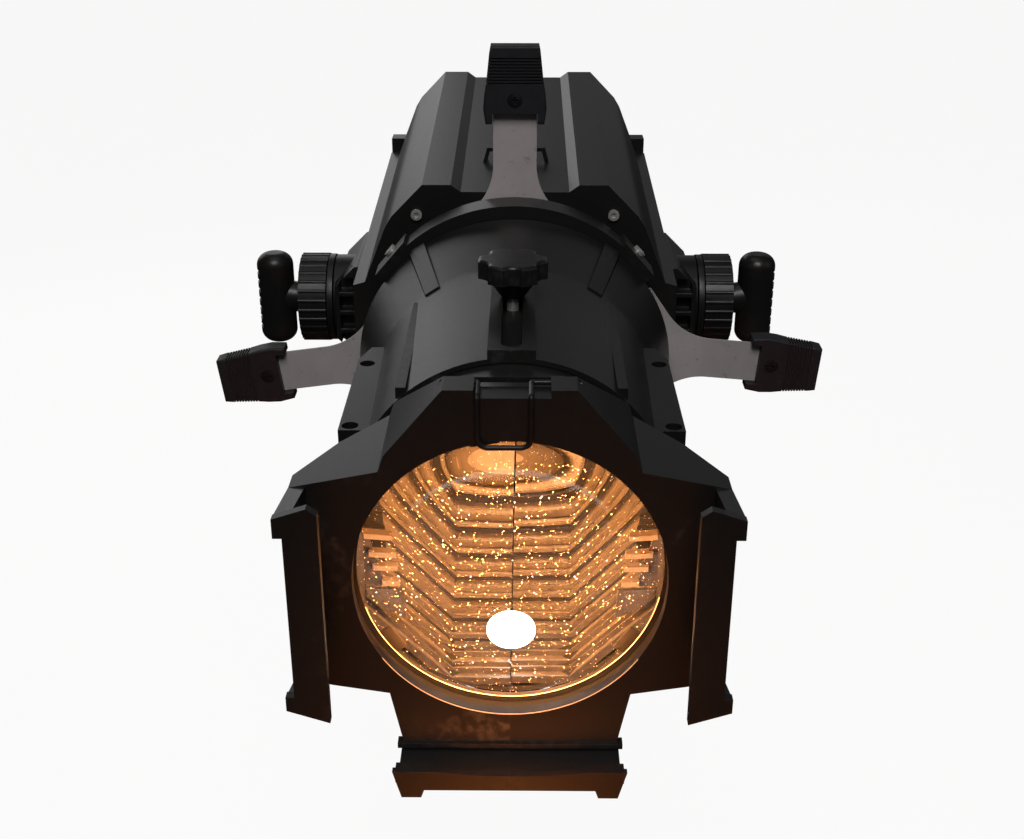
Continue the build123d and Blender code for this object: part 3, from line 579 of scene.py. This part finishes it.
def lens_dust():
    """Specks of dust on the lens's front face, made to glow with a painted warm highlight where the
    lamp's light would catch them.
    """
    rng = Random(11)
    lens_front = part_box("front_lens")[0][1]
    specks = 1800
    reach = 64 * MM
    sizes = (0.08, 0.10, 0.12, 0.15, 0.22)
    proud = 0.3  # share of a speck's size by which its middle stands before the glass

    def fill(shape):
        for _ in range(specks):
            radius = reach * sqrt(rng.random())
            angle = rng.uniform(0, 2 * pi)
            x, z = radius * cos(angle), radius * sin(angle)
            size = rng.choice(sizes) * MM * rng.uniform(0.7, 1.2)
            place = Matrix.Translation((AXIS_X + x, lens_front - proud * size, AXIS_Z + z))
            add_speck(shape, place, size)
    # the dust is real, its glow is a painted warm highlight
    piece = mesh_piece("lens_dust", fill, glowing("dust_glow", (1.0, 0.72, 0.45), 1.4),
                       "lens_tube")
    return piece


front_glass()
for half in (-1, 1):
    terraces(half)
    side_rack(half)
    rungs(half)
# painted highlights along the retaining ring's and the aperture's edges
bright_edge("retainer_edge", 11.9, 63.9, 197, 348, 0.2)
bright_edge("aperture_edge", 0.1, 64.6, 214, 326, 0.2)
source_image()
lens_dust()


# ---- studio -------------------------------------------------------------------
WHITE = (1.0, 1.0, 1.0)
WARM = (1.0, 0.40, 0.12)
DEEP_WARM = (1.0, 0.28, 0.05)


def area_light(name, where, target, size, power, colour=WHITE, shape="SQUARE", size_y=None):
    """Lamp aimed at a point, in metres and watts, hidden from the camera and the glass."""
    data = bpy.data.lights.new(name, "AREA")
    data.shape = shape if size_y is None else "RECTANGLE"
    data.size = size
    if size_y is not None:
        data.size_y = size_y
    data.energy = power
    data.color = colour
    lamp = bpy.data.objects.new(name, data)
    lamp.location = where
    lamp.rotation_euler = (Vector(target) - Vector(where)).to_track_quat("-Z", "Y").to_euler()
    lamp.visible_camera = False
    lamp.visible_transmission = False
    bpy.context.collection.objects.link(lamp)
    return lamp


# soft boxes for the outside
middle = head(0, 250, 0)
area_light("key", middle + Vector((-1.1, 2.2, 0.66)), middle, 2.0, 8.5, size_y=1.4)
area_light("back", middle + Vector((0.7, 2.8, 0.9)), middle, 2.2, 2.0)
area_light("top", middle + Vector((-0.2, 0.2, 2.0)), middle, 1.2, 2.0)
area_light("fill", middle + Vector((1.8, -0.6, 0.9)), middle, 1.2, 1.2)
area_light("overhead_front", middle + Vector((0, -1.6, 1.9)), middle, 1.0, 21)

# the lamp's own glow on the gel holder, kept off the much paler shutter blades
blades = bpy.data.collections.new("blades")
for side in ("top", "bottom", "left", "right"):
    blades.objects.link(frame["nodes"]["shutter_blade_" + side])
for entry in blades.collection_objects:
    entry.light_linking.link_state = "EXCLUDE"
for lamp in (
    area_light("warm_front", head(0, -230, -105), head(0, 0, -50), 0.16, 0.10, DEEP_WARM),
    area_light("tongue_light", head(0, -150, -100), head(0, -10, -118), 0.06, 0.14, DEEP_WARM),
):
    lamp.visible_glossy = False
    lamp.data.spread = radians(56)
    lamp.light_linking.receiver_collection = blades

# the light inside the tube
for lamp in (
    area_light("gate_light", head(0, 262, 0), head(0, 0, 0), 0.07, 2.0, WARM, "DISK"),
    area_light("tube_light", head(0, 10, 0), head(0, 300, -30), 0.11, 3.0, WARM, "DISK"),
):
    lamp.visible_glossy = False

FLOOR_SIZE = 30
FLOOR_DROP = 0.55  # below the lowest point of the hanging lamp
bpy.ops.mesh.primitive_plane_add(size=FLOOR_SIZE, location=(0, 0, cad_low[2] - FLOOR_DROP))
floor = bpy.context.active_object
floor.name = "floor"
floor_paper = Finish("floor_paper")
floor_paper.put("Base Color", floor_paper.mix(floor_paper.noise(3, 2), (0.10, 0.10, 0.10),
                                              (0.11, 0.11, 0.11)))
floor_paper.put("Roughness", 0.9)
floor_paper.put("Specular IOR Level", 0.0)
floor_paper.put("Emission Color", (1.0, 0.995, 0.995, 1.0))
floor_paper.put("Emission Strength", 0.935)
floor.data.materials.append(floor_paper.material)
floor.visible_glossy = False
floor.visible_diffuse = False

world = bpy.data.worlds.new("studio")
bpy.context.scene.world = world
world.use_nodes = True
background = world.node_tree.nodes["Background"]
background.inputs["Color"].default_value = (0.9, 0.95, 1.0, 1.0)
background.inputs["Strength"].default_value = 0.015
bpy.context.scene.view_settings.view_transform = "Standard"

# ---- camera ------------------------------------------------------------------------
CAMERA_PITCH = 24.6  # degrees below the horizon
CAMERA_YAW = 0.52
FOCAL_LENGTH = 47.46
SENSOR_WIDTH = 36.0
camera = bpy.data.objects.new("camera", bpy.data.cameras.new("camera"))
bpy.context.collection.objects.link(camera)
camera.data.lens = FOCAL_LENGTH
camera.data.sensor_width = SENSOR_WIDTH
camera.location = head(5.1, -472, 290)
camera.rotation_euler = (radians(90 - CAMERA_PITCH), 0, radians(CAMERA_YAW))
bpy.context.scene.camera = camera
